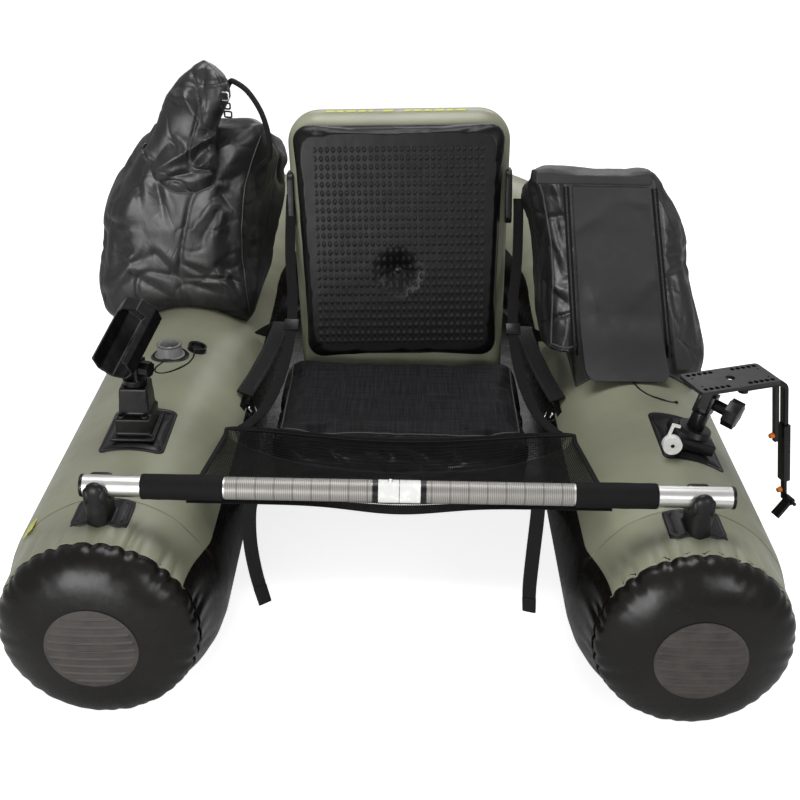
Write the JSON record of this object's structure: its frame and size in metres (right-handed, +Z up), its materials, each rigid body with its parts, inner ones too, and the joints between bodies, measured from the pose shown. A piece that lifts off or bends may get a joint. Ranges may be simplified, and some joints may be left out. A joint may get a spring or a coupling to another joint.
{
  "type": "float tube",
  "caption": "U-shaped inflatable fishing float tube with padded seat and backrest, measuring bar with net apron, gear bags, rod holder and finder mount.",
  "frame": {"origin": "centre of the part's box on the ground", "axes": "+Z up, -Y towards the two noses, +X towards the tube that carries the fish finder mount"},
  "size_m": [1.2032, 1.7028, 0.772],
  "materials": {
    "olive_fabric": "coated olive fabric, satin",
    "black_fabric": "coated black fabric, satin",
    "black_rubber": "moulded black rubber",
    "grey_rubber": "grey wear rubber, ribbed",
    "seat_cloth": "woven black cloth",
    "pad_vinyl": "black padded cloth",
    "webbing": "black webbing",
    "net": "black mesh",
    "bag_cloth": "black coated bag cloth",
    "aluminium": "anodised",
    "steel": "polished",
    "foam": "foam grip",
    "black_plastic": "moulded black",
    "white_plastic": "moulded white",
    "grey_plastic": "moulded grey",
    "orange_plastic": "moulded orange"
  },
  "bodies": {
    "hull": {"hull_top_panel_left": "olive_fabric", "hull_top_panel_right": "olive_fabric", "hull_base_panel_left": "black_fabric", "hull_base_panel_right": "black_fabric", "nose_panel_left": "black_fabric", "nose_panel_right": "black_fabric", "seat_base_panel": "black_fabric", "wear_patch_left": "grey_rubber", "wear_patch_right": "grey_rubber", "seat_cushion": "seat_cloth", "side_strap_left": "webbing", "side_strap_right": "webbing", "carry_strap_left": "webbing", "carry_strap_right": "webbing", "apron_tail_left": "webbing", "apron_tail_right": "webbing", "valve_leash": "webbing", "bag_cord": "webbing", "ring_patch_left": "black_rubber", "ring_patch_right": "black_rubber", "bar_post_left": "black_rubber", "bar_post_right": "black_rubber", "rod_pad": "black_rubber", "finder_pad": "black_rubber", "valve_cap": "black_rubber", "apron_net": "net", "rod_base": "black_plastic", "finder_base": "black_plastic", "valve_body": "grey_plastic", "left_bag": "bag_cloth", "right_bag": "bag_cloth"},
    "backrest": {"backrest_shell": "olive_fabric", "backrest_pad": "pad_vinyl", "strap_slider_left": "steel", "strap_slider_right": "steel"},
    "bar": {"bar_tube_left": "aluminium", "bar_tube_right": "aluminium", "bar_grip_left": "foam", "bar_grip_right": "foam", "bar_cap_left": "black_plastic", "bar_cap_right": "black_plastic"},
    "button": {"snap_button": "aluminium"},
    "rod_turret": {"rod_swivel": "black_plastic"},
    "rod_cup": {"rod_cradle": "black_plastic"},
    "rod_clamp": {"rod_knob": "black_plastic"},
    "plunger": {"valve_plunger": "grey_plastic"},
    "lock": {"finder_lock": "white_plastic"},
    "mount_post": {"finder_post": "black_plastic"},
    "mount_plate": {"finder_plate": "black_plastic"},
    "mount_clamp": {"finder_knob": "black_plastic"},
    "swing_arm": {"transducer_arm": "black_plastic", "arm_screw_upper": "orange_plastic"},
    "arm_slide": {"transducer_sleeve": "black_plastic", "arm_screw_lower": "orange_plastic"},
    "arm_foot": {"transducer_foot": "black_plastic"},
    "ring_left": {"d_ring_left": "steel"},
    "ring_right": {"d_ring_right": "steel"},
    "bag_flap": {"right_bag_flap": "bag_cloth"},
    "zip_left": {"zip_pull_left": "black_plastic"},
    "zip_right": {"zip_pull_right": "black_plastic"}
  },
  "joints": [
    {"name": "backrest_fold", "type": "hinge", "parent": "hull", "child": "backrest", "pos_m": [-0.03892, -0.1136, 0.27845], "axis": [1, 0, 0], "range_deg": [0, 60], "deforming": ["side_strap_left", "side_strap_right"]},
    {"name": "bar_lift", "type": "slide", "parent": "hull", "child": "bar", "axis": [0, 0, 1], "range_m": [0, 0.04], "deforming": ["apron_net", "apron_tail_left", "apron_tail_right"]},
    {"name": "snap_button_press", "type": "hinge", "parent": "bar", "child": "button", "pos_m": [-0.01092, -0.7306, 0.3734], "axis": [0, -1, 0], "range_deg": [0, 3.5], "stiffness_Nm_per_rad": 6},
    {"name": "rod_swivel_turn", "type": "hinge", "parent": "hull", "child": "rod_turret", "pos_m": [-0.44492, -0.4756, 0.39117], "axis": [0, 0, 1], "continuous": true},
    {"name": "rod_tilt", "type": "hinge", "parent": "rod_turret", "child": "rod_cup", "pos_m": [-0.44492, -0.4756, 0.41917], "axis": [0.9397, -0.342, 0], "range_deg": [-31, 30]},
    {"name": "rod_knob_turn", "type": "hinge", "parent": "rod_turret", "child": "rod_clamp", "pos_m": [-0.44492, -0.4756, 0.41917], "axis": [0.9397, -0.342, 0], "continuous": true},
    {"name": "valve_plunger_press", "type": "slide", "parent": "hull", "child": "plunger", "axis": [0, 0, -1], "range_m": [0, 0.004], "stiffness_N_per_m": 400},
    {"name": "finder_lock_swing", "type": "hinge", "parent": "hull", "child": "lock", "pos_m": [0.36742, -0.5366, 0.33951], "axis": [0, -1, 0], "range_deg": [0, 80]},
    {"name": "finder_swivel", "type": "hinge", "parent": "hull", "child": "mount_post", "pos_m": [0.41561, -0.4806, 0.33778], "axis": [0.2588, 0, 0.9659], "range_deg": [-20, 15]},
    {"name": "finder_tilt", "type": "hinge", "parent": "mount_post", "child": "mount_plate", "pos_m": [0.42765, -0.4806, 0.38269], "axis": [0.8008, -0.5592, -0.2146], "range_deg": [-5, 10]},
    {"name": "finder_knob_turn", "type": "hinge", "parent": "mount_post", "child": "mount_clamp", "pos_m": [0.42765, -0.4806, 0.38269], "axis": [0.8008, -0.5592, -0.2146], "continuous": true},
    {"name": "transducer_arm_swing", "type": "hinge", "parent": "mount_plate", "child": "swing_arm", "pos_m": [0.4819, -0.47469, 0.40289], "axis": [0, 0, 1], "range_deg": [-20, 10]},
    {"name": "transducer_depth", "type": "slide", "parent": "swing_arm", "child": "arm_slide", "axis": [0.1712, 0.0623, -0.9833], "range_m": [0, 0.05]},
    {"name": "transducer_foot_tilt", "type": "hinge", "parent": "arm_slide", "child": "arm_foot", "pos_m": [0.59001, -0.44098, 0.18988], "axis": [-0.342, 0.9397, 0], "range_deg": [-50, 50]},
    {"name": "d_ring_left_swing", "type": "hinge", "parent": "hull", "child": "ring_left", "pos_m": [-0.30372, -0.2446, 0.23817], "axis": [0, -1, 0], "range_deg": [0, 80]},
    {"name": "d_ring_right_swing", "type": "hinge", "parent": "hull", "child": "ring_right", "pos_m": [0.22588, -0.2446, 0.23817], "axis": [0, 1, 0], "range_deg": [0, 80]},
    {"name": "bag_flap_lift", "type": "hinge", "parent": "hull", "child": "bag_flap", "pos_m": [0.29908, -0.18967, 0.627], "axis": [-1, 0, 0], "range_deg": [0, 100]},
    {"name": "zip_left_slide", "type": "slide", "parent": "hull", "child": "zip_left", "axis": [-0.1192, 0.1404, 0.9829], "range_m": [0, 0.2]},
    {"name": "zip_right_slide", "type": "slide", "parent": "hull", "child": "zip_right", "axis": [-0.1757, 0.1392, 0.9745], "range_m": [0, 0.2]}
  ]
}
